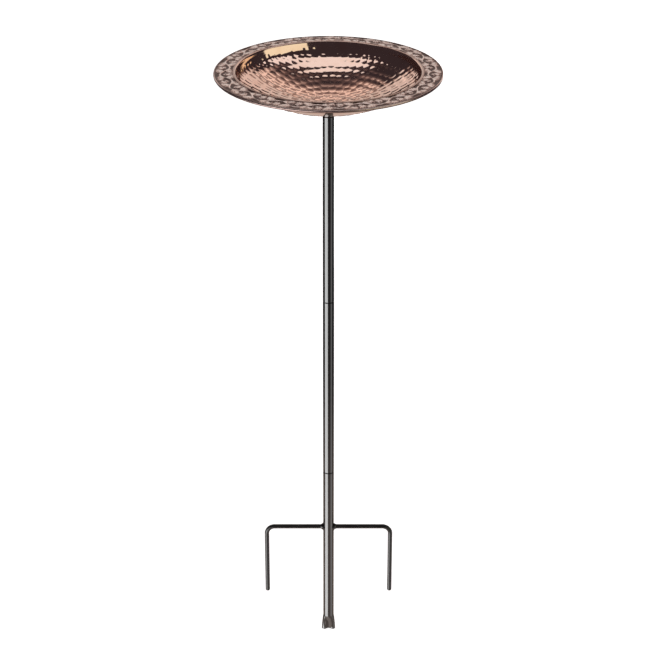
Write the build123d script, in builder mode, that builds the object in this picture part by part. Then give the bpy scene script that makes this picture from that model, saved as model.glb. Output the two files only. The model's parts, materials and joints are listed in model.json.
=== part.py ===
from build123d import *
import os
from math import atan2, cos, degrees, radians, sin

# Bird bath: a hammered copper bowl that screws onto a three-section steel garden stake with a
# two-pronged foot. Millimetres, +Z up. The origin is where the stake's axis meets the ground,
# which is the underside of the prongs' crossbar when the foot is pushed fully home.

# Bowl: one spun copper sheet, drawn along its middle line
bowl_diameter = 368.3  # over the rolled edge
bowl_depth = 62.0  # flange down to the outside of the bottom
bowl_sheet = 1.0
flange_width = 35.5  # rolled edge in to the mouth
flange_slope = 2.5  # degrees, falling outwards
wall_angle = 75.0  # degrees, of the steep wall under the mouth
wall_straight = 4.0  # straight run of that wall below the lip bead
knuckle_radius = 29.0  # turn between the shallow bottom and the wall
lip_radius = 2.4  # bead around the mouth
lip_dip = 32.0  # degrees, how far the bead turns down outwards
bead_foot_radius = 2.0  # fillet from the bead into the flange
roll_radius = 1.8  # rolled outer edge
roll_turn = 268.0  # degrees, how far the edge is rolled under

# Mount under the bowl: a dished plate brazed to the bottom, with a screwed boss
mount_plate_diameter = 62.0
mount_plate_thickness = 1.8
mount_boss_diameter = 19.05
mount_boss_height = 12.0  # bowl's outside down to the boss's seat
mount_boss_fillet = 4.0

# Stake: three tubes of one length, each end plugged
section_length = 330.2
tube_diameter = 19.05
tube_wall = 1.2
tube_end_chamfer = 0.6
insert_length = 26.0  # tapped insert in the top of a tube
plug_length = 20.0  # plug that carries the stud in the foot of a tube
mouth_chamfer = 0.8

# Screwed joints, metric ten coarse thread held as its plain major cylinder
stud_diameter = 10.0
stud_clearance = 0.08  # radial, stud in a tapped insert
stud_engagement = 20.0  # stud inside the insert when screwed home
stud_chamfer = 1.2

# Washers on the studs
top_washer_thickness = 2.6
joint_washer_thickness = 0.8
washer_inset = 0.25  # washer's rim inside the tube's
washer_clearance = 0.3  # radial, around the stud
top_washer_chamfer = 0.6

# Foot: pinched tube tip and two bent prongs
crossbar_above_tip = 216.8
prong_rod_diameter = 7.94
prong_spread = 220.0  # between the legs' axes
prong_drop = 135.0  # crossbar's axis down to the legs' ends
prong_bend_radius = 14.0
prong_end_round = 2.6
weld_leg = 3.4  # fillet weld up the tube
weld_length = 5.5  # fillet weld along the rod
weld_hollow = 0.9  # how far its face is hollowed
pinch_length = 30.0
tip_flare = 2.7  # tip's lobes stand this far outside the round tube
tip_lobe_squeeze = 4.7  # tube's radius less a lobe's
tip_gap = 0.5  # between the front and back walls where they are squeezed together
half_pinch_height = 16.0  # where the pinch is half formed
half_flare = 1.7
half_lobe_squeeze = 3.3
half_dent = 4.5  # front and back walls pressed in
round_join_angle = 58.0  # degrees, where the round section's arcs meet

# Sizes that follow
tube_radius = tube_diameter / 2
tube_bore_radius = tube_radius - tube_wall
stud_radius = stud_diameter / 2
rod_radius = prong_rod_diameter / 2

# Stations up the stake's axis
tip_z = rod_radius - crossbar_above_tip
lower_top_z = tip_z + section_length
middle_foot_z = lower_top_z + joint_washer_thickness
middle_top_z = middle_foot_z + section_length
upper_foot_z = middle_top_z + joint_washer_thickness
upper_top_z = upper_foot_z + section_length
boss_seat_z = upper_top_z + top_washer_thickness
bowl_bottom_z = boss_seat_z + mount_boss_height
flange_z = bowl_bottom_z + bowl_depth

os.makedirs("parts", exist_ok=True)


def write(piece, name):
    """Label a finished piece and write it under the same name."""
    piece.part.label = name
    export_step(piece.part, f"parts/{name}.step")


# Bowl's middle line, solved so that each arc runs tangent into the next.
# Every arc's centre lies along the sheet's normal from the point where the last one ends.
wall_heading = radians(wall_angle)
mouth_radius = bowl_diameter / 2 - flange_width
bottom_z = bowl_bottom_z + bowl_sheet / 2
lip_centre = Vector(mouth_radius + lip_radius, flange_z - lip_radius * cos(radians(lip_dip)))
wall_top = lip_centre + lip_radius * Vector(-sin(wall_heading), cos(wall_heading))
wall_foot = wall_top - wall_straight * Vector(cos(wall_heading), sin(wall_heading))
knuckle_centre = wall_foot + knuckle_radius * Vector(-sin(wall_heading), cos(wall_heading))
knuckle_rise = knuckle_centre.Y - bottom_z
cap_radius = (knuckle_centre.X**2 + knuckle_rise**2 - knuckle_radius**2) / (
    2 * (knuckle_rise - knuckle_radius)
)
cap_centre_z = bottom_z + cap_radius
cap_turn = degrees(atan2(knuckle_centre.X, cap_centre_z - knuckle_centre.Y))
roll_centre_x = bowl_diameter / 2 - bowl_sheet / 2 - roll_radius
roll_start_x = roll_centre_x + roll_radius * sin(radians(flange_slope))

with BuildPart() as bowl:
    with BuildSketch(Plane.XZ) as bowl_profile:
        with BuildLine() as sheet_line:
            cap = JernArc((0, bottom_z), (1, 0), cap_radius, cap_turn)
            knuckle = JernArc(cap @ 1, cap % 1, knuckle_radius, wall_angle - cap_turn)
            wall = Line(knuckle @ 1, wall_top)
            lip = JernArc(wall @ 1, wall % 1, lip_radius, -(wall_angle + lip_dip))
            foot = JernArc(lip @ 1, lip % 1, bead_foot_radius, lip_dip - flange_slope)
            flange_run = (roll_start_x - (foot @ 1).X) / cos(radians(flange_slope))
            flange = Line(foot @ 1, foot @ 1 + flange_run * (foot % 1))
            JernArc(flange @ 1, flange % 1, roll_radius, -roll_turn)
        trace(line_width=bowl_sheet)
    revolve(axis=Axis.Z)
write(bowl, "bowl")

with BuildPart() as mount_flange:
    with BuildSketch(Plane.XZ) as mount_profile:
        with Locations((0, cap_centre_z)):
            Circle(cap_radius + bowl_sheet / 2 + mount_plate_thickness)
        with Locations((0, bowl_bottom_z)):
            Rectangle(mount_plate_diameter, mount_plate_diameter, mode=Mode.INTERSECT)
        with Locations((0, boss_seat_z)):
            Rectangle(
                mount_boss_diameter,
                mount_boss_height + mount_plate_thickness,
                align=(Align.CENTER, Align.MIN),
            )
        by_height = mount_profile.vertices().group_by(Axis.Y)
        boss_roots = by_height[1]
        fillet(boss_roots, mount_boss_fillet)
        with Locations((0, cap_centre_z)):
            Circle(cap_radius + bowl_sheet / 2, mode=Mode.SUBTRACT)
        with Locations((stud_radius, boss_seat_z)):
            Rectangle(
                mount_plate_diameter,
                2 * mount_plate_diameter,
                align=(Align.MAX, Align.CENTER),
                mode=Mode.SUBTRACT,
            )
    revolve(axis=Axis.Z)
write(mount_flange, "bowl_mount_flange")


def make_stud(name, seat_z, root_length, washer_thickness):
    """Stud that hangs from seat_z through a washer and into the insert below it."""
    reach = washer_thickness + stud_engagement
    with BuildPart() as stud:
        with BuildSketch(Plane.XY.offset(seat_z - reach)):
            Circle(stud_radius)
        extrude(amount=reach + root_length)
        chamfer(stud.edges().group_by(Axis.Z)[0], stud_chamfer)
    write(stud, name)


def make_washer(name, foot_z, thickness, edge_chamfer):
    """Flat ring around a stud, a little smaller than the tube that it sits on."""
    with BuildPart() as washer:
        with BuildSketch(Plane.XY.offset(foot_z)):
            Circle(tube_radius - washer_inset)
            Circle(stud_radius + washer_clearance, mode=Mode.SUBTRACT)
        extrude(amount=thickness)
        if edge_chamfer > 0:
            rims = washer.edges().filter_by(GeomType.CIRCLE)
            chamfer(rims.group_by(SortBy.RADIUS)[-1], edge_chamfer)
    write(washer, name)


def make_tube(name, foot_z):
    """Straight tube with the burr taken off its outer end edges."""
    with BuildPart() as tube:
        with BuildSketch(Plane.XY.offset(foot_z)):
            Circle(tube_radius)
            Circle(tube_bore_radius, mode=Mode.SUBTRACT)
        extrude(amount=section_length)
        rims = tube.edges().filter_by(GeomType.CIRCLE)
        chamfer(rims.group_by(SortBy.RADIUS)[-1], tube_end_chamfer)
    write(tube, name)


def make_insert(name, top_z):
    """Tapped insert that closes the top of a tube and takes the next stud."""
    with BuildPart() as insert:
        with BuildSketch(Plane.XY.offset(top_z - insert_length)):
            Circle(tube_bore_radius)
            Circle(stud_radius + stud_clearance, mode=Mode.SUBTRACT)
        extrude(amount=insert_length)
        mouth = insert.edges().group_by(Axis.Z)[-1].sort_by(SortBy.RADIUS)[0]
        chamfer(mouth, mouth_chamfer)
    write(insert, name)


def make_plug(name, foot_z):
    """Plug in the foot of a tube, around the root of its stud."""
    with BuildPart() as plug:
        with BuildSketch(Plane.XY.offset(foot_z)):
            Circle(tube_bore_radius)
            Circle(stud_radius, mode=Mode.SUBTRACT)
        extrude(amount=plug_length)
    write(plug, name)


make_stud("bowl_stud", boss_seat_z, mount_boss_height, top_washer_thickness)
make_washer("top_washer", upper_top_z, top_washer_thickness, top_washer_chamfer)

make_tube("upper_tube", upper_foot_z)
make_insert("upper_tube_top_insert", upper_top_z)
make_plug("upper_tube_bottom_plug", upper_foot_z)
make_stud("upper_joint_stud", upper_foot_z, plug_length, joint_washer_thickness)
make_washer("upper_joint_washer", middle_top_z, joint_washer_thickness, 0)

make_tube("middle_tube", middle_foot_z)
make_insert("middle_tube_top_insert", middle_top_z)
make_plug("middle_tube_bottom_plug", middle_foot_z)
make_stud("lower_joint_stud", middle_foot_z, plug_length, joint_washer_thickness)
make_washer("lower_joint_washer", lower_top_z, joint_washer_thickness, 0)

make_insert("lower_tube_top_insert", lower_top_z)


def pinched_outline(lobe_radius, lobe_offset, waist):
    """Two round lobes left and right, joined front and back by hollow arcs tangent to both."""
    hollow = (lobe_offset**2 + waist**2 - lobe_radius**2) / (2 * (lobe_radius - waist))
    lean = atan2(waist + hollow, lobe_offset)
    lobed_outline(
        Vector(lobe_offset - lobe_radius * cos(lean), lobe_radius * sin(lean)),
        lobe_offset + lobe_radius,
        waist,
    )


def round_outline(radius):
    """Plain circle in the same four arcs as the pinched outline, so that a loft can join them."""
    join = radius * Vector(cos(radians(round_join_angle)), sin(radians(round_join_angle)))
    lobed_outline(join, radius, radius)


def lobed_outline(join, side, waist):
    """Closed outline of four arcs that meet at the join and at its mirror images."""
    ThreePointArc((join.X, -join.Y), (side, 0), (join.X, join.Y))
    ThreePointArc((join.X, join.Y), (0, waist), (-join.X, join.Y))
    ThreePointArc((-join.X, join.Y), (-side, 0), (-join.X, -join.Y))
    ThreePointArc((-join.X, -join.Y), (0, -waist), (join.X, -join.Y))


# Lower tube: round above, squeezed to a two-lobed section at the tip, open all the way down.
# The same outlines, one wall smaller, cut the bore.
tip_lobe_radius = tube_radius - tip_lobe_squeeze
tip_lobe_offset = tube_radius + tip_flare - tip_lobe_radius
half_lobe_radius = tube_radius - half_lobe_squeeze
half_lobe_offset = tube_radius + half_flare - half_lobe_radius
with BuildPart() as lower_tube:
    for inset, mode in ((0, Mode.ADD), (tube_wall, Mode.SUBTRACT)):
        with BuildSketch(Plane.XY.offset(tip_z)) as tip_section:
            with BuildLine():
                tip_waist = tube_wall + tip_gap / 2 - inset
                pinched_outline(tip_lobe_radius - inset, tip_lobe_offset, tip_waist)
            make_face()
        with BuildSketch(Plane.XY.offset(tip_z + half_pinch_height)) as half_section:
            with BuildLine():
                half_waist = tube_radius - half_dent - inset
                pinched_outline(half_lobe_radius - inset, half_lobe_offset, half_waist)
            make_face()
        with BuildSketch(Plane.XY.offset(tip_z + pinch_length)) as round_section:
            with BuildLine():
                round_outline(tube_radius - inset)
            make_face()
        loft(sections=(tip_section.sketch, half_section.sketch, round_section.sketch), mode=mode)
        extrude(round_section.sketch, amount=section_length - pinch_length, mode=mode)
    top_rims = lower_tube.edges().filter_by(GeomType.CIRCLE).group_by(Axis.Z)[-1]
    chamfer(top_rims.group_by(SortBy.RADIUS)[-1], tube_end_chamfer)
write(lower_tube, "lower_tube")


def make_prong(name, side):
    """Bent rod: out along the ground from the tube's wall, then straight down."""
    with BuildPart() as prong:
        with BuildLine(Plane.XZ):
            bar_end = side * (prong_spread / 2 - prong_bend_radius)
            bar = Line((0, rod_radius), (bar_end, rod_radius))
            bend = JernArc(bar @ 1, (side, 0), prong_bend_radius, -side * 90)
            Line(bend @ 1, (side * prong_spread / 2, rod_radius - prong_drop))
        with BuildSketch(Plane((0, 0, rod_radius), z_dir=(side, 0, 0))):
            Circle(rod_radius)
        sweep()
        fillet(prong.edges().group_by(Axis.Z)[0], prong_end_round)
        with Locations((0, 0, rod_radius)):
            Cylinder(tube_radius, 2 * prong_rod_diameter, mode=Mode.SUBTRACT)
    write(prong, name)


def make_prong_weld(name, side):
    """Fillet weld around the rod's root, saddled onto the tube's wall."""
    with BuildPart() as weld:
        with BuildSketch(Plane.XZ):
            with BuildLine():
                root = (0, prong_rod_diameter)
                toe = (side * (tube_radius + weld_length), prong_rod_diameter)
                crest = (side * tube_radius, prong_rod_diameter + weld_leg)
                back = (0, prong_rod_diameter + weld_leg)
                Polyline(crest, back, root, toe)
                SagittaArc(toe, crest, side * weld_hollow)
            make_face()
        revolve(axis=Axis((0, 0, rod_radius), (1, 0, 0)))
        with Locations((0, 0, rod_radius)):
            Cylinder(tube_radius, 4 * prong_rod_diameter, mode=Mode.SUBTRACT)
    write(weld, name)


for side, hand in ((-1, "left"), (1, "right")):
    make_prong(f"prong_{hand}", side)
    make_prong_weld(f"prong_weld_{hand}", side)
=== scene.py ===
# %% [markdown]
# # Hammered copper bird bath
# A copper bowl on a black steel garden stake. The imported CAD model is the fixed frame: it says
# where everything is and what moves. This file gives the pieces their looks: the hammer marks,
# the embossed rim, the threads, the coatings, the studio.

# %% The fixed frame
import json
from math import atan2, ceil, cos, hypot, pi, radians, sin

import bpy
import numpy as np
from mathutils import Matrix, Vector

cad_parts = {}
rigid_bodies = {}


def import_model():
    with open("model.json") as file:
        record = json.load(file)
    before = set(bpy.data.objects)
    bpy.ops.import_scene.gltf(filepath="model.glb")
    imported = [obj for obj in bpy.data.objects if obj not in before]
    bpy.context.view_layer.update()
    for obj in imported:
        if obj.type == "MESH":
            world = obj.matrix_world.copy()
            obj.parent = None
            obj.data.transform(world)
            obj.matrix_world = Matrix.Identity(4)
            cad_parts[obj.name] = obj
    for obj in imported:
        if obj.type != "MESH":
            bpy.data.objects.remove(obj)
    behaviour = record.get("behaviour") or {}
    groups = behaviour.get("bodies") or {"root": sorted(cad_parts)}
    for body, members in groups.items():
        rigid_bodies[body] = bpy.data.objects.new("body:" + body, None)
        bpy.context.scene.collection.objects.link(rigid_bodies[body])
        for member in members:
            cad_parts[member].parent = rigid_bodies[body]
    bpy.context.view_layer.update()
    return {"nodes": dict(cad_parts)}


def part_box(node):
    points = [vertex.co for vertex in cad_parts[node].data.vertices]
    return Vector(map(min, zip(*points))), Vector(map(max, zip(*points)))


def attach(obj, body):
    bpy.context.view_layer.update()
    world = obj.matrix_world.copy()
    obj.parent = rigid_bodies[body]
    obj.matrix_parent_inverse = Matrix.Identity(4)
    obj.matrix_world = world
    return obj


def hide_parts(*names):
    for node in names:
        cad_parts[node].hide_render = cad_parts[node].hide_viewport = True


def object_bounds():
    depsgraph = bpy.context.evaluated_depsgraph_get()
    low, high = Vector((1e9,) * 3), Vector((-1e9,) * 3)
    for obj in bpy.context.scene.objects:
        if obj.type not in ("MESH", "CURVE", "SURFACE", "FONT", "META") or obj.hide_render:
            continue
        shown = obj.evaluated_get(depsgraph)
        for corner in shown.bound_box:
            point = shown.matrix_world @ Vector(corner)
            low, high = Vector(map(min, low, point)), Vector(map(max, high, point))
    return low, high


for left_over in list(bpy.data.objects):
    bpy.data.objects.remove(left_over)
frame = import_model()

# %% [markdown]
# The sheet and the studs are sized in millimetres, as on a drawing, and turned into metres where
# their meshes are made. The node trees' own inputs and the studio are in metres. Colours are
# written as sRGB hex, as a paint chart gives them, and one function turns them linear, because
# shader sockets work in linear light.

# %% Units and colours
MM = 0.001
MM_IN_METRE = 1000


def colour(hex_code):
    """Linear RGBA from an sRGB hex code."""
    channels = [int(hex_code[i:i + 2], 16) / 255 for i in (1, 3, 5)]
    linear = [c / 12.92 if c <= 0.04045 else ((c + 0.055) / 1.055) ** 2.4 for c in channels]
    return (*linear, 1.0)


# %% [markdown]
# Every material and every Geometry Nodes tree is built with the same small step: add a node,
# set its properties, plug in its links. A link is the source's output socket or a plain value.

# %% One function that adds a node
def add(tree, kind, links=(), **properties):
    """Add a node with these properties; links map its inputs to outputs or values."""
    node = tree.nodes.new(kind)
    for name, value in properties.items():
        setattr(node, name, value)
    for key, value in dict(links).items():
        socket = node.inputs[key]
        if isinstance(value, bpy.types.NodeSocket):
            tree.links.new(value, socket)
        else:
            socket.default_value = value
    return node


# %% [markdown]
# ## The bowl's profile
# The bowl is spun from one copper sheet, so a single middle line describes it: a shallow cap,
# a tight knuckle, a steep wall, a bead around the mouth, a nearly flat flange and a rolled edge.
# Each arc starts where the last one ended and keeps its direction, which is how a spinner's
# former works, and how a reader can change one size without breaking the rest.

# %% Sizes of the sheet, in millimetres
bowl_low, bowl_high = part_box("bowl")
SHEET = 1.0
RIM_RADIUS = (bowl_high.x - bowl_low.x) / 2 / MM
BOWL_DEPTH = 62.0
FLANGE_WIDTH = 35.5
FLANGE_SLOPE = radians(2.5)
WALL_ANGLE = radians(75)
WALL_STRAIGHT = 4.0
KNUCKLE_RADIUS = 29.0
LIP_RADIUS = 2.4
LIP_DIP = radians(32)
FOOT_RADIUS = 2.0
ROLL_RADIUS = 1.8
ROLL_TURN = radians(268)
OUTSIDE_BOTTOM = bowl_low.z / MM
FLANGE_HEIGHT = OUTSIDE_BOTTOM + BOWL_DEPTH
print("bowl radius", round(RIM_RADIUS, 2), "mm, flange at", round(FLANGE_HEIGHT, 2), "mm")


# %% Walking along the sheet
def arc(start, heading, radius, turn, step):
    """Points (x, z, heading) along an arc. A positive turn bends to the left."""
    count = max(2, ceil(abs(turn) * radius / step))
    side = 1 if turn > 0 else -1
    centre = (start[0] - side * radius * sin(heading), start[1] + side * radius * cos(heading))
    points = []
    for i in range(1, count + 1):
        now = heading + turn * i / count
        x = centre[0] + side * radius * sin(now)
        z = centre[1] - side * radius * cos(now)
        points.append((x, z, now))
    return points


def straight(start, heading, length, step):
    """Points (x, z, heading) along a straight run."""
    count = max(1, ceil(length / step))
    points = []
    for i in range(1, count + 1):
        gone = length * i / count
        points.append((start[0] + gone * cos(heading), start[1] + gone * sin(heading), heading))
    return points


def sheet_line(cap_step, lip_step, flange_step):
    """The basin's and the flange's stretches of the middle line."""
    bottom = OUTSIDE_BOTTOM + SHEET / 2
    mouth = RIM_RADIUS - FLANGE_WIDTH
    lip = Vector((mouth + LIP_RADIUS, FLANGE_HEIGHT - LIP_RADIUS * cos(LIP_DIP)))
    normal = Vector((-sin(WALL_ANGLE), cos(WALL_ANGLE)))
    wall_top = lip + LIP_RADIUS * normal
    wall_foot = wall_top - WALL_STRAIGHT * Vector((cos(WALL_ANGLE), sin(WALL_ANGLE)))
    knuckle = wall_foot + KNUCKLE_RADIUS * normal
    rise = knuckle.y - bottom
    cap_radius = (knuckle.x**2 + rise**2 - KNUCKLE_RADIUS**2) / (2 * (rise - KNUCKLE_RADIUS))
    cap_turn = atan2(knuckle.x, bottom + cap_radius - knuckle.y)

    basin = [(0.0, bottom, 0.0)]
    basin += arc(basin[-1], 0.0, cap_radius, cap_turn, cap_step)
    basin += arc(basin[-1], cap_turn, KNUCKLE_RADIUS, WALL_ANGLE - cap_turn, cap_step)
    basin += straight(basin[-1], WALL_ANGLE, WALL_STRAIGHT, cap_step)
    basin += arc(basin[-1], WALL_ANGLE, LIP_RADIUS, -(WALL_ANGLE + LIP_DIP), lip_step)
    basin += arc(basin[-1], -LIP_DIP, FOOT_RADIUS, LIP_DIP - FLANGE_SLOPE, lip_step)

    roll_start = RIM_RADIUS - SHEET / 2 - ROLL_RADIUS + ROLL_RADIUS * sin(FLANGE_SLOPE)
    run = (roll_start - basin[-1][0]) / cos(FLANGE_SLOPE)
    flange = [basin[-1]]
    flange += straight(basin[-1], -FLANGE_SLOPE, run, flange_step)
    flange += arc(flange[-1], -FLANGE_SLOPE, ROLL_RADIUS, -ROLL_TURN, lip_step)
    return basin, flange


# %% [markdown]
# A skin is the middle line moved half a sheet to one side. Going out along the upper skin and
# back along the lower one gives a closed outline, and turning that outline about the axis gives
# a closed shell. Three vertex attributes travel with it: which way the sheet's upper side faces,
# how far along the sheet the vertex is, and which skin it is on. The hammer needs all three, the
# press the first and the last, and the polish reads how far along it is.

# %% Turning an outline into a shell
ON_AXIS = 1e-6  # mm, a point this near the axis is one vertex instead of a ring


def skin(line, offset):
    """The middle line moved sideways: (x, z, nx, nz, distance, skin) for each point."""
    points, travelled = [], 0.0
    for i, (x, z, heading) in enumerate(line):
        if i:
            travelled += hypot(x - line[i - 1][0], z - line[i - 1][1])
        nx, nz = -sin(heading), cos(heading)
        which = float(offset > 0)
        points.append((max(0.0, x + offset * nx), z + offset * nz, nx, nz, travelled, which))
    return points


def turned_shell(name, outline, count, closed):
    """Revolve outline points about Z. The first and last may lie on the axis."""
    turn = np.linspace(0, 2 * pi, count, endpoint=False)
    ring_cos, ring_sin = np.cos(turn), np.sin(turn)
    verts, upper, along, side, starts = [], [], [], [], []
    for x, z, nx, nz, travelled, which in outline:
        starts.append(len(verts))
        c, s = (np.zeros(1), np.zeros(1)) if x < ON_AXIS else (ring_cos, ring_sin)
        verts += list(zip(x * MM * c, x * MM * s, np.full(len(c), z * MM)))
        upper += list(zip(nx * c, nx * s, np.full(len(c), nz)))
        along += [travelled * MM] * len(c)
        side += [which] * len(c)
    ends = starts[1:] + [len(verts)]
    pairs = list(zip(range(len(outline) - 1), range(1, len(outline))))
    if closed:
        pairs.append((len(outline) - 1, 0))
    faces = []
    for a, b in pairs:
        wide_a, wide_b = ends[a] - starts[a] > 1, ends[b] - starts[b] > 1
        for i in range(count):
            j = (i + 1) % count
            if wide_a and wide_b:
                faces.append((starts[a] + i, starts[b] + i, starts[b] + j, starts[a] + j))
            elif wide_b:
                faces.append((starts[a], starts[b] + i, starts[b] + j))
            elif wide_a:
                faces.append((starts[a] + i, starts[b], starts[a] + j))
    mesh = bpy.data.meshes.new(name)
    mesh.from_pydata(verts, [], faces)
    for attribute, values in (("along", along), ("skin", side)):
        mesh.attributes.new(attribute, "FLOAT", "POINT").data.foreach_set("value", values)
    mesh.attributes.new("upper", "FLOAT_VECTOR", "POINT").data.foreach_set(
        "vector", np.array(upper, dtype=np.float32).ravel()
    )
    mesh.shade_smooth()
    piece = bpy.data.objects.new(name, mesh)
    bpy.context.scene.collection.objects.link(piece)
    print(name, len(verts), "vertices", len(faces), "faces")
    return piece


# %% The basin and the rim as plain shells
BASIN_STEP = 1.3
UNDERSIDE_STEP = 2.6
LIP_STEP = 0.5
FLANGE_STEP = 0.65
LIP_COARSER_BELOW = 2
FLANGE_COARSER_BELOW = 3
BASIN_SEGMENTS = 560
RIM_SEGMENTS = 1600
basin_line, flange_line = sheet_line(BASIN_STEP, LIP_STEP, FLANGE_STEP)
under_line, flange_under = sheet_line(
    UNDERSIDE_STEP, LIP_STEP * LIP_COARSER_BELOW, FLANGE_STEP * FLANGE_COARSER_BELOW
)
basin = turned_shell(
    "bowl_basin",
    skin(basin_line, SHEET / 2) + skin(under_line, -SHEET / 2)[::-1],
    BASIN_SEGMENTS,
    closed=True,
)
rim = turned_shell(
    "bowl_rim",
    skin(flange_line, SHEET / 2) + skin(flange_under, -SHEET / 2)[::-1],
    RIM_SEGMENTS,
    closed=True,
)
basin_length = skin(basin_line, 0.0)[-1][4]
print("from the middle to the foot of the bead:", round(basin_length, 1), "mm of sheet")

# %% [markdown]
# ## How a Geometry Nodes tree is used here
# Each tree is built once, with named inputs, put on its piece as a modifier, and its result is
# kept as a plain mesh. The inputs are set by the socket's identifier, because that is
# the name the modifier stores, and the modifier is gone before the piece is tied to the frame.

# %% Helpers for Geometry Nodes
def new_tree(name, **inputs):
    """A geometry tree with a Geometry input and output and named float or integer inputs."""
    tree = bpy.data.node_groups.new(name, "GeometryNodeTree")
    tree.interface.new_socket("Geometry", in_out="INPUT", socket_type="NodeSocketGeometry")
    tree.interface.new_socket("Geometry", in_out="OUTPUT", socket_type="NodeSocketGeometry")
    for label, value in inputs.items():
        kind = "NodeSocketInt" if isinstance(value, int) else "NodeSocketFloat"
        tree.interface.new_socket(label, in_out="INPUT", socket_type=kind).default_value = value
    return tree, add(tree, "NodeGroupInput").outputs


def end_tree(tree, geometry, material):
    """Realize, give the material and join the output."""
    real = add(tree, "GeometryNodeRealizeInstances", {"Geometry": geometry})
    links = {"Geometry": real.outputs[0], "Material": material}
    finished = add(tree, "GeometryNodeSetMaterial", links)
    add(tree, "NodeGroupOutput", {"Geometry": finished.outputs[0]})


def bake(piece, tree, **inputs):
    """Run the tree on the piece with these inputs and keep the result as its mesh."""
    modifier = piece.modifiers.new(tree.name, "NODES")
    modifier.node_group = tree
    for item in tree.interface.items_tree:
        if item.in_out == "INPUT" and item.name in inputs:
            modifier[item.identifier] = inputs[item.name]
    depsgraph = bpy.context.evaluated_depsgraph_get()
    result = bpy.data.meshes.new_from_object(piece.evaluated_get(depsgraph), depsgraph=depsgraph)
    piece.modifiers.remove(modifier)
    old, piece.data = piece.data, result
    bpy.data.meshes.remove(old)
    result.name = piece.name
    result.shade_smooth()
    print(piece.name, "baked:", len(result.polygons), "faces")


def maths(tree, operation, *values):
    """One Math node's output, from sockets or numbers."""
    return add(tree, "ShaderNodeMath", dict(enumerate(values)), operation=operation).outputs[0]


def product(tree, *values):
    """The product of any number of sockets or numbers."""
    total = values[0]
    for value in values[1:]:
        total = maths(tree, "MULTIPLY", total, value)
    return total


def vectors(tree, operation, *values, output=0):
    """One Vector Math node's output, from sockets or vectors."""
    links = dict(enumerate(values))
    return add(tree, "ShaderNodeVectorMath", links, operation=operation).outputs[output]


def scaled(tree, vector, scale):
    """A vector times a number."""
    links = {"Vector": vector, "Scale": scale}
    return add(tree, "ShaderNodeVectorMath", links, operation="SCALE").outputs[0]


def parts_of(tree, vector):
    """The X, Y and Z outputs of a vector."""
    return add(tree, "ShaderNodeSeparateXYZ", {0: vector}).outputs


def combined(tree, **axes):
    """A vector from its X, Y and Z."""
    return add(tree, "ShaderNodeCombineXYZ", axes).outputs[0]


def position(tree):
    """Where each point is."""
    return add(tree, "GeometryNodeInputPosition").outputs[0]


def moved(tree, geometry, offset):
    """Geometry with every point moved by an offset."""
    links = {"Geometry": geometry, "Offset": offset}
    return add(tree, "GeometryNodeSetPosition", links).outputs[0]


def attribute(tree, name, kind="FLOAT"):
    """A named attribute read in a geometry tree."""
    return add(tree, "GeometryNodeInputNamedAttribute", {"Name": name}, data_type=kind).outputs[0]


def ramp(tree, value, low, high, to_low=0.0, to_high=1.0):
    """A smooth step of a value between two bounds."""
    links = {"Value": value, "From Min": low, "From Max": high, "To Min": to_low, "To Max": to_high}
    return add(tree, "ShaderNodeMapRange", links, interpolation_type="SMOOTHSTEP").outputs[0]


# %% [markdown]
# ## Materials
# Each material is named for what it is made of and how its surface was made. Patterns read
# object coordinates, and their scale comes from a real size: a noise of scale S has about S
# patches in a metre, so a patch of L millimetres needs a scale of 1000 / L.

# %% Helpers for materials
def new_material(name, **values):
    """A Principled material with constant values set on its own sockets."""
    material = bpy.data.materials.new(name)
    material.use_nodes = True
    shader = material.node_tree.nodes["Principled BSDF"]
    for socket, value in values.items():
        shader.inputs[socket.replace("_", " ")].default_value = value
    return material, material.node_tree, shader


def dress(tree, shader, **outputs):
    """Join these outputs to the shader's sockets."""
    for socket, output in outputs.items():
        tree.links.new(output, shader.inputs[socket.replace("_", " ")])


def noise(tree, patch_mm, detail=2.0, stretch=(1, 1, 1)):
    """Noise on object coordinates with patches of this size, stretched along the axes."""
    place = add(tree, "ShaderNodeTexCoord").outputs["Object"]
    stretched = add(tree, "ShaderNodeMapping", {"Vector": place, "Scale": stretch})
    links = {"Vector": stretched.outputs[0], "Scale": MM_IN_METRE / patch_mm, "Detail": detail}
    return add(tree, "ShaderNodeTexNoise", links).outputs["Fac"]


def carried(tree, name):
    """A mesh attribute read in a material."""
    return add(tree, "ShaderNodeAttribute", attribute_name=name).outputs["Fac"]


def blend_colours(tree, factor, *stops):
    """A colour ramp: each stop is (position, hex)."""
    node = add(tree, "ShaderNodeValToRGB", {"Fac": factor})
    elements = node.color_ramp.elements
    while len(elements) < len(stops):
        elements.new(0.5)
    for element, (position_on_ramp, hex_code) in zip(elements, stops):
        element.position, element.color = position_on_ramp, colour(hex_code)
    return node.outputs["Color"]


def bump(tree, height, depth_mm):
    """A bump from a height in 0 to 1 that stands depth_mm tall."""
    links = {"Height": height, "Distance": depth_mm * MM, "Strength": 1.0}
    return add(tree, "ShaderNodeBump", links).outputs["Normal"]


# %% [markdown]
# ## The two coppers
# The basin is spun, planished and polished: a mirror with a warm tint, faint cloudy wear and
# fine polishing haze, dull and browner on the last millimetres before the rim. The rim is
# pressed, darkened in a sulphur dip and rubbed back: dark brown in the recesses, dull grey pink
# on the ground and bright copper on whatever stands proud.
# The rolled edge is painted lighter on its upper side and darker beneath, as painted light and
# painted shade.

# %% Polished copper
PATINA_STARTS = 4.5  # mm before the end of the basin's sheet
PATINA_FULL = 1.5
PATINA_SHARE = 0.75
PATINA_ROUGHNESS = 0.3
MIX_FACTOR, MIX_FIRST, MIX_SECOND, MIX_RESULT = 0, 6, 7, 2  # a colour Mix node's sockets

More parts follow.
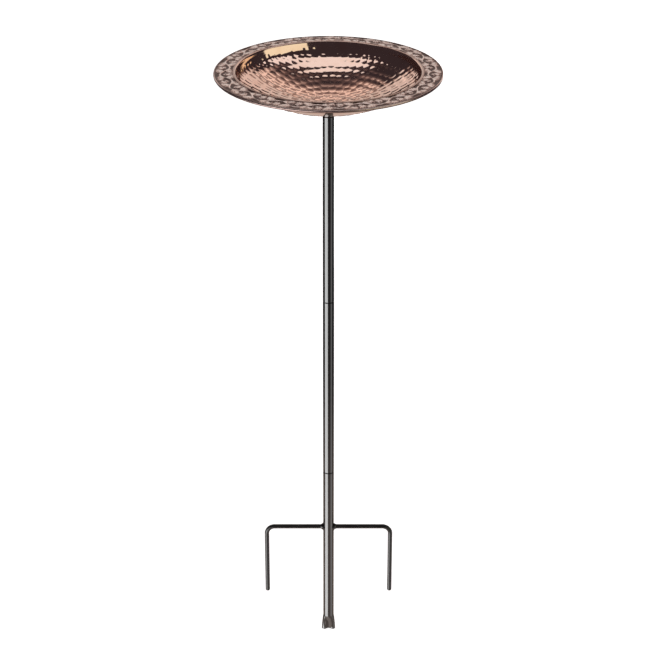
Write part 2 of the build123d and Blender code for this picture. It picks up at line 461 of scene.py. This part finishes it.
polished_copper, tree, shader = new_material(
    "polished_planished_copper", Metallic=1.0, Roughness=0.07
)
clouds = noise(tree, patch_mm=28, detail=4.0)
bright = blend_colours(tree, clouds, (0.30, "#F0CDBB"), (0.55, "#F6D8C9"), (0.8, "#F3D0BD"))
smears = noise(tree, patch_mm=6, detail=5.0)
haze = ramp(tree, smears, low=0.35, high=0.75, to_low=0.05, to_high=0.13)
patina = ramp(
    tree,
    carried(tree, "along"),
    low=basin_length * MM - PATINA_STARTS * MM,
    high=basin_length * MM - PATINA_FULL * MM,
    to_high=PATINA_SHARE,
)
links = {MIX_FACTOR: patina, MIX_FIRST: bright, MIX_SECOND: colour("#B79D94")}
tinted = add(tree, "ShaderNodeMix", links, data_type="RGBA")
dress(
    tree,
    shader,
    Base_Color=tinted.outputs[MIX_RESULT],
    Roughness=maths(tree, "ADD", haze, maths(tree, "MULTIPLY", patina, PATINA_ROUGHNESS)),
    Normal=bump(tree, noise(tree, patch_mm=1.6, detail=2.0), depth_mm=0.004),
)

# %% Antiqued copper
MOTTLE_SHARE = 0.25

antiqued_copper_and_roll_light, tree, shader = new_material("antiqued_pressed_copper_with_painted_roll_light", Metallic=1.0)
mottle = maths(tree, "SUBTRACT", noise(tree, patch_mm=3.0, detail=4.0), 0.5)
patches = maths(tree, "MULTIPLY", mottle, MOTTLE_SHARE)
# Besides the patina and rubbing of the relief, this paints the roll lighter on top and darker
# beneath: painted light and painted shade.
wear_and_painted_roll_light = maths(tree, "ADD", carried(tree, "relief_and_roll_light"), patches)
dress(
    tree,
    shader,
    Base_Color=blend_colours(
        tree, wear_and_painted_roll_light, (0.0, "#65514B"), (0.15, "#9D8680"), (0.38, "#DBC3BB"), (0.6, "#FFF0E8")
    ),
    Roughness=ramp(tree, wear_and_painted_roll_light, low=0.0, high=0.6, to_low=0.42, to_high=0.15),
    Normal=bump(tree, noise(tree, patch_mm=1.2, detail=3.0), depth_mm=0.03),
)

# %% [markdown]
# ## Hammering the basin
# A planishing hammer leaves shallow round facets in rings that run out from the middle of the
# bowl. The blows could be modelled one by one, but a rule is shorter and truer: mark them out on
# the flat sheet along a spiral, nudge each by a little, and let every point of the sheet sink by
# the shape of the hammer's face at the nearest blow. The blows land harder from the knuckle
# outwards, the upper wall is left smooth, as it was spun, and the back of the sheet shows each
# blow only softly, and not at all where the mount's plate sits.

# %% Where the blows fall
SPIRAL_RESOLUTION = 96
hammer, given = new_tree(
    "hammering",
    Blow_Spacing=0.0125,
    Ring_Pitch=0.0155,
    First_Ring=0.004,
    Last_Ring=0.17,
    Wander=0.0016,
    Seed=7,
    Face_Radius=0.068,
    Blow_Depth=0.00028,
    Smooth_From=0.15,
    Smooth_To=0.16,
    Back_Share=0.5,
    Plate_Radius=0.036,
    Knuckle_From=0.13,
    Knuckle_To=0.15,
    Knuckle_Share=2.0,
)
rings_width = maths(hammer, "SUBTRACT", given["Last_Ring"], given["First_Ring"])
path = add(
    hammer,
    "GeometryNodeCurveSpiral",
    {
        "Resolution": SPIRAL_RESOLUTION,
        "Rotations": maths(hammer, "DIVIDE", rings_width, given["Ring_Pitch"]),
        "Start Radius": given["First_Ring"],
        "End Radius": given["Last_Ring"],
        "Height": 0.0,
    },
)
links = {"Curve": path.outputs[0], "Length": given["Blow_Spacing"]}
blows = add(hammer, "GeometryNodeCurveToPoints", links, mode="LENGTH")
links = {"Min": (-1, -1, 0), "Max": (1, 1, 0), "Seed": given["Seed"]}
wander = add(hammer, "FunctionNodeRandomValue", links, data_type="FLOAT_VECTOR")
nudge = scaled(hammer, wander.outputs[0], given["Wander"])
marked = moved(hammer, blows.outputs[0], nudge)

# %% How deep the sheet sinks at each point
RIDGE_LIMIT = 0.0001  # metres, the highest a ridge between blows can stand
RIDGE_BLEND = 0.00008
PLATE_EDGE = 0.006  # metres past the plate over which the blows come in on the back

flat_place = vectors(hammer, "MULTIPLY", position(hammer), (1, 1, 0))
along = attribute(hammer, "along")
on_sheet = scaled(hammer, vectors(hammer, "NORMALIZE", flat_place), along)
links = {0: marked, "Source Position": on_sheet}
nearest = add(hammer, "GeometryNodeProximity", links, target_element="POINTS").outputs["Distance"]
face_curve = maths(
    hammer,
    "DIVIDE",
    maths(hammer, "MULTIPLY", nearest, nearest),
    maths(hammer, "MULTIPLY", given["Face_Radius"], 2.0),
)
below = maths(hammer, "SUBTRACT", face_curve, given["Blow_Depth"])
sunk = maths(hammer, "SMOOTH_MIN", below, RIDGE_LIMIT, RIDGE_BLEND)
fade = ramp(hammer, along, given["Smooth_From"], given["Smooth_To"], to_low=1.0, to_high=0.0)
plate_edge = maths(hammer, "ADD", given["Plate_Radius"], PLATE_EDGE)
clear_of_plate = ramp(hammer, along, given["Plate_Radius"], plate_edge)
back = maths(hammer, "MULTIPLY", clear_of_plate, given["Back_Share"])
links = {"Factor": attribute(hammer, "skin"), "A": back, "B": 1.0}
share = add(hammer, "ShaderNodeMix", links).outputs[0]
harder = ramp(
    hammer,
    along,
    given["Knuckle_From"],
    given["Knuckle_To"],
    to_low=1.0,
    to_high=given["Knuckle_Share"],
)
depth = product(hammer, sunk, fade, harder, share)
struck = moved(hammer, given[0], scaled(hammer, attribute(hammer, "upper", "FLOAT_VECTOR"), depth))
end_tree(hammer, struck, polished_copper)

# %% Strike the basin
SMOOTH_BAND = 8.0  # mm of the sheet's end that no blow reaches
FADE_WIDTH = 6
HARDER_FROM = 40  # mm before the sheet's end
HARDEST_FROM = 28
bake(
    basin,
    hammer,
    Last_Ring=(basin_length - SMOOTH_BAND) * MM,
    Smooth_From=(basin_length - SMOOTH_BAND - FADE_WIDTH) * MM,
    Smooth_To=(basin_length - SMOOTH_BAND) * MM,
    Knuckle_From=(basin_length - HARDER_FROM) * MM,
    Knuckle_To=(basin_length - HARDEST_FROM) * MM,
)
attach(basin, "bowl")
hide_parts("bowl")

# %% [markdown]
# ## Pressing the rim
# The rim is embossed in a press: a die with a raised frieze stretches the sheet up. The frieze
# is a running scroll with leaves, drawn once as a straight strip, repeated along a line and
# wrapped into a ring. The ring of rods is the die. Each point of the flange looks straight down
# on it, and on the upper side it rises as far as it finds the die, so relief and patina come from
# the same height. The ground between sinks a little on both sides, and the back stays smooth.
# The rolled edge's upper side is painted lighter and its underside darker: painted light and
# painted shade.

# %% The frieze's sizes
REPEATS = 16
BAND_RADIUS = 166.4
REPEAT_LENGTH = 2 * pi * BAND_RADIUS / REPEATS
print("one repeat of the frieze is", round(REPEAT_LENGTH, 1), "mm long")

press, given = new_tree(
    "rim_frieze",
    Repeats=REPEATS,
    Band_Radius=BAND_RADIUS * MM,
    Repeat_Length=REPEAT_LENGTH * MM,
    Stem_Swing=0.0072,
    Stem_Thickness=0.00125,
    Scroll_Radius=0.0078,
    Leaf_Length=0.0136,
    Leaf_Thickness=0.00112,
    Highest=0.0017,
    Ground_Sink=0.001,
    Band_From=0.1525,
    Band_To=0.1808,
    Roll_From=0.1822,
)


# %% Rods of the die
ROD_SIDES = 8


def rod(tree, curve, thickness, taper=None):
    """A round rod along a curve. The taper is a list of (place along, share of the thickness)."""
    if taper:
        along_rod = add(tree, "GeometryNodeSplineParameter").outputs["Factor"]
        shape = add(tree, "ShaderNodeFloatCurve", {"Value": along_rod})
        points = shape.mapping.curves[0].points
        while len(points) < len(taper):
            points.new(0.5, 0.5)
        for point, place in zip(points, taper):
            point.location = place
        shape.mapping.update()
        thickness = maths(tree, "MULTIPLY", thickness, shape.outputs[0])
    thick = add(tree, "GeometryNodeSetCurveRadius", {"Curve": curve, "Radius": thickness})
    links = {"Resolution": ROD_SIDES, "Radius": 1.0}
    section = add(tree, "GeometryNodeCurvePrimitiveCircle", links)
    links = {"Curve": thick.outputs[0], "Profile Curve": section.outputs[0], "Scale": thickness}
    return add(tree, "GeometryNodeCurveToMesh", links).outputs[0]


def placed(tree, geometry, x=0.0, y=0.0, turn=0.0, flip=False):
    """Geometry moved along and across the strip by metres, turned, and flipped if asked."""
    links = {
        "Geometry": geometry,
        "Translation": combined(tree, X=x, Y=y),
        "Rotation": (0, 0, turn),
        "Scale": (1, -1 if flip else 1, 1),
    }
    return add(tree, "GeometryNodeTransform", links).outputs[0]


def joined(tree, *parts):
    """Several geometries as one."""
    node = add(tree, "GeometryNodeJoinGeometry")
    for part in parts:
        tree.links.new(part, node.inputs[0])
    return node.outputs[0]


def share_of_repeat(part):
    """A distance along the strip, as a share of one repeat."""
    return maths(press, "MULTIPLY", given["Repeat_Length"], part)


# %% The stem: a wave that closes on itself after the last repeat
STEM_POINTS = 40  # in one repeat
strip_length = maths(press, "MULTIPLY", given["Repeat_Length"], given["Repeats"])
strip = add(press, "GeometryNodeCurvePrimitiveLine", {"End": combined(press, X=strip_length)})
strip_points = maths(press, "MULTIPLY", given["Repeats"], STEM_POINTS)
links = {"Curve": strip.outputs[0], "Count": strip_points}
fine = add(press, "GeometryNodeResampleCurve", links)
place_x = parts_of(press, position(press))["X"]
repeats_gone = maths(press, "DIVIDE", place_x, given["Repeat_Length"])
phase = maths(press, "MULTIPLY", repeats_gone, 2 * pi)
swing = maths(press, "MULTIPLY", maths(press, "SINE", phase), given["Stem_Swing"])
wave = moved(press, fine.outputs[0], combined(press, Y=swing))
stem = rod(press, wave, given["Stem_Thickness"])

# %% A scroll that curls in under each bend of the stem, with a bud in its eye
SCROLL_TURNS = 1.1
SCROLL_EYE = 0.25  # of its outer radius
SCROLL_TAPER = [(0, 1.0), (0.4, 0.75), (1, 0.55)]
BUD_SHARE = 1.6  # of the stem's thickness
curl = add(
    press,
    "GeometryNodeCurveSpiral",
    {
        "Resolution": 28,
        "Rotations": SCROLL_TURNS,
        "Start Radius": maths(press, "MULTIPLY", given["Scroll_Radius"], SCROLL_EYE),
        "End Radius": given["Scroll_Radius"],
        "Height": 0.0,
    },
)
scroll = rod(press, curl.outputs[0], given["Stem_Thickness"], SCROLL_TAPER)
bud_size = maths(press, "MULTIPLY", given["Stem_Thickness"], BUD_SHARE)
bud = add(press, "GeometryNodeMeshUVSphere", {"Segments": 12, "Rings": 8, "Radius": bud_size})
scroll_and_bud = joined(press, scroll, bud.outputs[0])

# %% A leaf: seven fingers fanned out from one point, the middle one longest
FINGERS = ((-69, 0.6), (-46, 0.8), (-23, 0.94), (0, 1.0), (23, 0.94), (46, 0.8), (69, 0.6))
FINGER_TAPER = [(0, 0.35), (0.45, 1.0), (0.8, 0.7), (1, 0.12)]
BEND_X, BEND_Y, TIP_Y = 0.55, 0.14, -0.06  # of the finger's length
fingers = []
for spread, length in FINGERS:
    reach = maths(press, "MULTIPLY", given["Leaf_Length"], length)
    bend_x = maths(press, "MULTIPLY", reach, BEND_X)
    bend_y = maths(press, "MULTIPLY", reach, BEND_Y)
    tip_y = maths(press, "MULTIPLY", reach, TIP_Y)
    links = {
        "Resolution": 9,
        "Start": (0, 0, 0),
        "Middle": combined(press, X=bend_x, Y=bend_y),
        "End": combined(press, X=reach, Y=tip_y),
    }
    finger = add(press, "GeometryNodeCurveQuadraticBezier", links)
    shape = rod(press, finger.outputs[0], given["Leaf_Thickness"], FINGER_TAPER)
    fingers.append(placed(press, shape, turn=radians(spread)))
leaf = joined(press, *fingers)

# %% One repeat: a scroll and five leaves, and the same again turned over
SCROLL_PLACE = (0.25, -0.0030, 200)
LEAF_PLACES = (
    # share of the repeat, metres across, degrees turned
    (0.05, 0.0035, 112),
    (0.40, 0.0035, 48),
    (0.10, -0.0055, 232),
    (0.39, -0.0080, -28),
    (0.26, -0.0040, -70),
)
half = []
for shape, places in ((scroll_and_bud, (SCROLL_PLACE,)), (leaf, LEAF_PLACES)):
    for part, across, turn in places:
        half.append(placed(press, shape, share_of_repeat(part), across, turn=radians(turn)))
half_repeat = joined(press, *half)
turned_over = placed(press, half_repeat, share_of_repeat(0.5), flip=True)
one_repeat = joined(press, half_repeat, turned_over)
links = {"Count": given["Repeats"], "Offset": combined(press, X=given["Repeat_Length"])}
stations = add(press, "GeometryNodeMeshLine", links)
links = {"Points": stations.outputs[0], "Instance": one_repeat}
repeated = add(press, "GeometryNodeInstanceOnPoints", links)
links = {"Geometry": joined(press, repeated.outputs[0], stem)}
straight_die = add(press, "GeometryNodeRealizeInstances", links)

# %% Wrap the strip into a ring
flat = parts_of(press, position(press))
angle = maths(press, "DIVIDE", flat["X"], given["Band_Radius"])
ring_radius = maths(press, "ADD", given["Band_Radius"], flat["Y"])
wrapped = combined(
    press,
    X=maths(press, "MULTIPLY", ring_radius, maths(press, "COSINE", angle)),
    Y=maths(press, "MULTIPLY", ring_radius, maths(press, "SINE", angle)),
    Z=flat["Z"],
)
links = {"Geometry": straight_die.outputs[0], "Position": wrapped}
die = add(press, "GeometryNodeSetPosition", links)

# %% How high each point of the flange finds the die
DIE_TOP = 0.01  # metres, like the tree's own inputs
BAND_EDGE = 0.001
ROUND_OFF = 0.0003
flat_place = vectors(press, "MULTIPLY", position(press), (1, 1, 0))
links = {
    "Target Geometry": die.outputs[0],
    "Source Position": vectors(press, "ADD", flat_place, (0, 0, DIE_TOP)),
    "Ray Direction": (0, 0, -1),
    "Ray Length": DIE_TOP,
}
look = add(press, "GeometryNodeRaycast", links)
found = parts_of(press, look.outputs["Hit Position"])["Z"]
height = maths(press, "MULTIPLY", found, look.outputs["Is Hit"])
radius = vectors(press, "LENGTH", flat_place, output=1)
band_begins = maths(press, "ADD", given["Band_From"], BAND_EDGE)
band_ends = maths(press, "SUBTRACT", given["Band_To"], BAND_EDGE)
inner = ramp(press, radius, given["Band_From"], band_begins)
outer = ramp(press, radius, band_ends, given["Band_To"], to_low=1.0, to_high=0.0)
inside_band = maths(press, "MULTIPLY", inner, outer)
capped = maths(press, "SMOOTH_MIN", height, given["Highest"], ROUND_OFF)
raw = product(press, capped, inside_band, attribute(press, "skin"))
links = {"Value": raw, "Iterations": 1}
softened = add(press, "GeometryNodeBlurAttribute", links).outputs[0]
links = {"Value": inside_band, "Iterations": 2}
settled = add(press, "GeometryNodeBlurAttribute", links).outputs[0]

# %% Press the rim, note its relief, and paint light onto the roll's upper side
ROLL_EDGE = 0.0006  # metres
ROLL_TOP_PAINTED_LIGHT = 0.45
FACES_SIDE, FACES_UP = -0.2, 0.5  # the upper side's Z where the painted light on the roll starts and is full
# The roll's upward side is painted lighter and its underside left dark. This is painted light and
# painted shade, stored with the relief.
roll_begins = maths(press, "ADD", given["Roll_From"], ROLL_EDGE)
painted_roll_light = ramp(press, radius, given["Roll_From"], roll_begins, to_high=ROLL_TOP_PAINTED_LIGHT)
upper = attribute(press, "upper", "FLOAT_VECTOR")
faces_up = ramp(press, parts_of(press, upper)["Z"], FACES_SIDE, FACES_UP)
relief_and_painted_roll_light = maths(
    press,
    "MAXIMUM",
    maths(press, "DIVIDE", softened, given["Highest"]),
    maths(press, "MULTIPLY", painted_roll_light, faces_up),
)
links = {"Geometry": given[0], "Name": "relief_and_roll_light", "Value": relief_and_painted_roll_light}
stored = add(press, "GeometryNodeStoreNamedAttribute", links)
sunk = maths(press, "MULTIPLY", settled, given["Ground_Sink"])
lift = maths(press, "SUBTRACT", softened, sunk)
pressed = moved(press, stored.outputs[0], scaled(press, upper, lift))
end_tree(press, pressed, antiqued_copper_and_roll_light)
bake(rim, press)
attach(rim, "bowl")
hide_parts("bowl")

# %% [markdown]
# ## Coated steel
# The stake and the foot are steel, powder coated black after welding. The tubes are nearly black
# with a hard gloss and the very slight orange peel that a baked coating has. The prongs are
# satin, and the coating is rougher over the welds than on the tubes.

# %% Black coatings
DUST_ROUGHNESS = 0.06


def black_coating(name, roughness, peel_mm, peel_depth_mm, gloss):
    """Black powder coating with orange peel of this size."""
    material, tree, shader = new_material(
        name, Roughness=roughness, IOR=1.52, Specular_IOR_Level=gloss
    )
    peel = noise(tree, peel_mm, detail=1.0)
    dust = noise(tree, patch_mm=9, detail=4.0)
    dusty = roughness + DUST_ROUGHNESS
    dress(
        tree,
        shader,
        Normal=bump(tree, peel, peel_depth_mm),
        Base_Color=blend_colours(tree, dust, (0.4, "#040405"), (0.75, "#0A0A0B")),
        Roughness=ramp(tree, dust, low=0.3, high=0.8, to_low=roughness, to_high=dusty),
    )
    return material


coated_tube = black_coating("gloss_black_powder_coat_on_tube", 0.09, 2.2, 0.004, 1.0)
coated_rod = black_coating("satin_black_powder_coat_on_rod", 0.3, 2.6, 0.012, 0.6)
coated_weld = black_coating("gloss_black_powder_coat_on_weld", 0.24, 1.6, 0.03, 0.7)

# %% Rubber and nylon
# Moulded rubber is dull and faintly dusty.
rubber, tree, shader = new_material(
    "moulded_black_rubber", Roughness=0.65, IOR=1.52, Specular_IOR_Level=0.2
)
dust = noise(tree, patch_mm=1.5, detail=4.0)
dress(
    tree,
    shader,
    Base_Color=blend_colours(tree, dust, (0.35, "#080708"), (0.8, "#100F11")),
    Normal=bump(tree, noise(tree, patch_mm=0.4, detail=2.0), depth_mm=0.01),
)

# Turned nylon keeps a low sheen and fine tool rings.
nylon, tree, shader = new_material(
    "turned_black_nylon", Roughness=0.5, IOR=1.53, Specular_IOR_Level=0.15
)
shade = noise(tree, patch_mm=2.0, detail=3.0)
tool_rings = noise(tree, patch_mm=0.5, detail=1.0, stretch=(1, 1, 6))
dress(
    tree,
    shader,
    Base_Color=blend_colours(tree, shade, (0.3, "#060607"), (0.8, "#0E0E10")),
    Normal=bump(tree, tool_rings, depth_mm=0.01),
)

# %% Zinc plate and the copper mount
# Bright zinc has a bluish cast, small spangles and thin dark handling marks.
zinc, tree, shader = new_material("bright_zinc_plated_steel", Metallic=1.0, Roughness=0.28)
spangle = noise(tree, patch_mm=1.2, detail=3.0)
dress(
    tree,
    shader,
    Base_Color=blend_colours(tree, spangle, (0.3, "#A9ADB3"), (0.6, "#C9CCD1"), (0.85, "#B4B6B4")),
    Roughness=ramp(tree, spangle, low=0.3, high=0.8, to_low=0.2, to_high=0.38),
)

# The mount is brazed on before polishing, so heat has left it browner than the bowl.
brazed_copper, tree, shader = new_material("brazed_copper_mount", Metallic=1.0, Roughness=0.42)
heat = noise(tree, patch_mm=7, detail=4.0)
dress(
    tree,
    shader,
    Base_Color=blend_colours(tree, heat, (0.3, "#8A5A48"), (0.55, "#B98168"), (0.8, "#CF9A80")),
    Roughness=ramp(tree, heat, low=0.3, high=0.8, to_low=0.5, to_high=0.36),
    Normal=bump(tree, noise(tree, patch_mm=1.0, detail=2.0), depth_mm=0.02),
)

# %% Give the CAD nodes their finishes
FINISHES = {
    "hammered_copper": polished_copper,
    "copper_mount": brazed_copper,
    "plated_steel": zinc,
    "black_rubber": rubber,
    "black_nylon": nylon,
    "black_coated_tube": coated_tube,
    "black_coated_rod": coated_rod,
    "black_coated_weld": coated_weld,
}
for node in frame["nodes"].values():
    for place in node.material_slots:
        place.material = FINISHES[place.material.name.split(".")[0]]
print("finishes given:", sorted(FINISHES))

# %% [markdown]
# ## The screw threads
# The studs carry a metric thread. Seen closely a thread is one rule: the radius falls and rises
# again once each pitch, and where along the pitch depends on the angle. So a stud is turned as a
# plain shell with many rows, and one short tree moves every point in by that rule. The ends run
# out plain, as they do where a die stops cutting.

# %% The threading tree
ROOT_ENDS, CREST_BEGINS = 0.12, 0.88  # shares of half a pitch, from the middle of the root
WALL_RADIUS = 0.0036  # m, points further out than this are cut
threading, given = new_tree(
    "threading",
    Pitch=0.0015,
    Depth=0.00092,
    Low_End=0.0,
    High_End=0.03,
    Run_Out=0.0012,
)
spot = parts_of(threading, position(threading))
turned = maths(threading, "DIVIDE", maths(threading, "ARCTAN2", spot["Y"], spot["X"]), 2 * pi)
risen = maths(threading, "DIVIDE", spot["Z"], given["Pitch"])
round_by = maths(threading, "FRACT", maths(threading, "SUBTRACT", risen, turned))
from_middle = maths(threading, "ABSOLUTE", maths(threading, "SUBTRACT", round_by, 0.5))
from_root = maths(threading, "MULTIPLY", from_middle, 2.0)
cut = ramp(threading, from_root, ROOT_ENDS, CREST_BEGINS, to_low=1.0, to_high=0.0)
low_full = maths(threading, "ADD", given["Low_End"], given["Run_Out"])
high_full = maths(threading, "SUBTRACT", given["High_End"], given["Run_Out"])
low_end = ramp(threading, spot["Z"], given["Low_End"], low_full)
high_end = ramp(threading, spot["Z"], high_full, given["High_End"], to_low=1.0, to_high=0.0)
across = vectors(threading, "MULTIPLY", position(threading), (1, 1, 0))
from_axis = vectors(threading, "LENGTH", across, output=1)
is_wall = maths(threading, "GREATER_THAN", from_axis, WALL_RADIUS)
inward = product(threading, cut, low_end, high_end, is_wall, -1.0, given["Depth"])
offset = scaled(threading, vectors(threading, "NORMALIZE", across), inward)
end_tree(threading, moved(threading, given[0], offset), zinc)

# %% Three studs
THREAD_ROW = 0.15
POINT_CHAMFER = 1.2
STUD_SEGMENTS = 48
for node, body in (
    ("bowl_stud", "bowl"),
    ("upper_joint_stud", "upper_section"),
    ("lower_joint_stud", "middle_section"),
):
    low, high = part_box(node)
    radius = (high.x - low.x) / 2 / MM
    foot, top = low.z / MM, high.z / MM
    rows = ceil((top - foot - POINT_CHAMFER) / THREAD_ROW)
    outline = [(0.0, foot), (radius - POINT_CHAMFER, foot)]
    for i in range(rows + 1):
        outline.append((radius, foot + POINT_CHAMFER + (top - foot - POINT_CHAMFER) * i / rows))
    outline.append((0.0, top))
    whole = [(x, z, 1.0, 0.0, 0.0, 1.0) for x, z in outline]
    stud = turned_shell(node + "_threaded", whole, STUD_SEGMENTS, closed=False)
    bake(stud, threading, Low_End=foot * MM, High_End=top * MM)
    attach(stud, body)
    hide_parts(node)

# %% [markdown]
# ## The studio
# Polished copper and gloss black show their surroundings more than themselves, so the light is
# built as a photographer builds it for metal: large soft panels with clean edges and dark gaps
# between them. They are painted into the world by direction. Each panel has a middle azimuth,
# where 0 is towards the camera and 90 is to the right, and a range of heights above the horizon.

# %% Panels of light by direction
PANELS = (
    # middle azimuth, half width, lowest, highest, softness, brightness, colour
    (57, 30, -3, 27, 1.5, 0.95, "#FFFCDD"),  # warm card on the right
    (172, 32, 27, 49, 5.0, 0.24, "#FFE0D2"),  # warm wall high at the back
    (171, 29, 36, 42, 1.5, 0.68, "#FFEADF"),  # strip on that wall
    (0, 26, -30, -8, 8.0, 0.14, "#FFF4F0"),  # dim wall behind the camera
    (180, 38, 3, 30, 6.0, 0.62, "#F5EEE8"),  # pale wall low at the back
    (148, 16, 3, 27, 8.0, 0.17, "#FFBCA4"),  # its shaded end on the right
    (-150, 14, 3, 26, 8.0, 0.12, "#FFC8B4"),  # its shaded end on the left
    (-147, 8, 20, 30, 3.0, 0.25, "#FFEDE6"),  # window at that end
    (-46, 31, -37, -4, 2.0, 5.8, "#FFFFFF"),  # strip light on the left, standing low
    (62, 17, -37, -4, 9.0, 1.0, "#FFFFFF"),  # fill strip on the right
    (176, 34, 43, 57, 12.0, 0.075, "#FFD8D0"),  # dim wall above
    (-30, 40, -75, -48, 6.0, 0.7, "#FFEEE6"),  # light thrown up from the table
    (168, 18, -24, -4, 3.0, 4.0, "#FFFFFF"),  # strip light far behind, standing low
)
TABLE_LIGHT = 0.54
TABLE_FULL_BELOW, TABLE_ENDS = -32, -27  # degrees of elevation
CEILING_LIGHT = 0.92
CEILING_X, CEILING_HALF_WIDTH = 0.2, 0.8  # on a ceiling one unit up
CEILING_Y, CEILING_HALF_DEPTH = 0.19, 0.2
CEILING_SOFTNESS = 0.02
LOWEST_UP = 0.05
AMBIENT = (0.036, 0.027, 0.032)
DEGREES = 180 / pi

world = bpy.data.worlds.new("studio")
bpy.context.scene.world = world
world.use_nodes = True
sky = world.node_tree
sky.nodes.clear()
direction = add(sky, "ShaderNodeTexCoord").outputs["Generated"]
east, north, height = parts_of(sky, direction)
elevation = maths(sky, "MULTIPLY", maths(sky, "ARCSINE", height), DEGREES)


def window(tree, value, middle, half, softness):
    """One where the value is within half of the middle, with soft edges."""
    away = maths(tree, "ABSOLUTE", maths(tree, "SUBTRACT", value, middle))
    return ramp(tree, away, half - softness / 2, half + softness / 2, 1.0, 0.0)


def panel_light(strength, mask, hex_code):
    """A panel's light: its colour times its mask and strength."""
    return scaled(sky, Vector(colour(hex_code)[:3]) * strength, mask)


table = ramp(sky, elevation, TABLE_FULL_BELOW, TABLE_ENDS, to_low=1.0, to_high=0.0)
lights = [panel_light(TABLE_LIGHT, table, "#FFEADD")]
for middle, half, low, high, softness, strength, hex_code in PANELS:
    links = {"Vector": direction, "Angle": radians(-middle)}
    turned = add(sky, "ShaderNodeVectorRotate", links, rotation_type="Z_AXIS")
    facing = parts_of(sky, turned.outputs[0])
    towards = maths(sky, "MULTIPLY", facing["Y"], -1.0)
    azimuth = maths(sky, "MULTIPLY", maths(sky, "ARCTAN2", facing["X"], towards), DEGREES)
    wide = window(sky, azimuth, 0.0, half, softness)
    tall = window(sky, elevation, (low + high) / 2, (high - low) / 2, softness)
    lights.append(panel_light(strength, maths(sky, "MULTIPLY", wide, tall), hex_code))

# The overhead panel is flat, so it is drawn where a direction meets a ceiling one unit up.
up = maths(sky, "MAXIMUM", height, LOWEST_UP)
ceiling_x = maths(sky, "DIVIDE", east, up)
ceiling_y = maths(sky, "DIVIDE", north, up)
overhead = maths(
    sky,
    "MULTIPLY",
    window(sky, ceiling_x, CEILING_X, CEILING_HALF_WIDTH, CEILING_SOFTNESS),
    window(sky, ceiling_y, CEILING_Y, CEILING_HALF_DEPTH, CEILING_SOFTNESS),
)
lights.append(panel_light(CEILING_LIGHT, overhead, "#FFFBFA"))
total = lights[0]
for light in [*lights[1:], AMBIENT]:
    total = vectors(sky, "ADD", total, light)
glow = add(sky, "ShaderNodeBackground", {"Color": total})
add(sky, "ShaderNodeOutputWorld", {"Surface": glow.outputs[0]})
print("panels of light:", len(lights))

# %% [markdown]
# ## Floor and backdrop
# The floor is a lit opal sheet, as on a product table, and the backdrop is the same white. Both
# are seen by the camera only: the reflections come from the studio above. From underneath the
# sheet is clear, so the object can be looked at from below.

# %% The lit white sheet
lit_white, tree, shader = new_material(
    "lit_opal_acrylic",
    Base_Color=colour("#F4F4F4"),
    Roughness=0.6,
    Emission_Color=colour("#FFFFFF"),
    Emission_Strength=0.95,
)
underneath = add(tree, "ShaderNodeNewGeometry").outputs["Backfacing"]
clear = add(tree, "ShaderNodeBsdfTransparent").outputs[0]
sheet_or_clear = add(tree, "ShaderNodeMixShader", {0: underneath, 1: shader.outputs[0], 2: clear})
tree.links.new(sheet_or_clear.outputs[0], tree.nodes["Material Output"].inputs["Surface"])


# %% Floor and backdrop
FLOOR_SIZE = 30.0
FLOOR_GAP = 0.0006
BACKDROP_SIDES = 48
BACKDROP_SHARE = 0.95  # of half the floor
BACKDROP_BELOW, BACKDROP_ABOVE = 12, 14


def staged(name, verts, faces):
    """A piece of the studio that only the camera sees."""
    mesh = bpy.data.meshes.new(name)
    mesh.from_pydata(verts, [], faces)
    mesh.materials.append(lit_white)
    piece = bpy.data.objects.new(name, mesh)
    bpy.context.scene.collection.objects.link(piece)
    piece.visible_glossy = False
    piece.visible_diffuse = False
    piece.visible_shadow = False
    return piece


low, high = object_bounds()
floor_z = low.z - FLOOR_GAP
half = FLOOR_SIZE / 2
corners = ((-half, -half), (half, -half), (half, half), (-half, half))
staged("floor", [(x, y, floor_z) for x, y in corners], [(0, 1, 2, 3)])

around = []
for i in range(BACKDROP_SIDES):
    turn = 2 * pi * i / BACKDROP_SIDES
    around.append((cos(turn) * half * BACKDROP_SHARE, sin(turn) * half * BACKDROP_SHARE))
levels = (floor_z - BACKDROP_BELOW, floor_z + BACKDROP_ABOVE)
walls = []
for i in range(BACKDROP_SIDES):
    j = (i + 1) % BACKDROP_SIDES
    walls.append((BACKDROP_SIDES + i, BACKDROP_SIDES + j, j, i))
lid = tuple(range(2 * BACKDROP_SIDES - 1, BACKDROP_SIDES - 1, -1))
staged("backdrop", [(x, y, z) for z in levels for x, y in around], [*walls, lid])

# %% [markdown]
# ## The camera
# It stands a little over three metres away, above the rim, and looks down at about the middle of
# the stake, so the bowl shows as a flat ellipse and the stake tapers slightly towards the ground.

# %% Camera
LENS = 110.05
SENSOR = 36.0
CAMERA_AT = (0.0, -3.062, 1.899)
LOOKING_DOWN = 26.129
camera_data = bpy.data.cameras.new("camera")
camera_data.lens = LENS
camera_data.sensor_width = SENSOR
camera = bpy.data.objects.new("camera", camera_data)
bpy.context.scene.collection.objects.link(camera)
camera.location = CAMERA_AT
camera.rotation_euler = (radians(90 - LOOKING_DOWN), 0, 0)
bpy.context.scene.camera = camera
bpy.context.scene.view_settings.view_transform = "Standard"
bpy.context.scene.view_settings.look = "None"
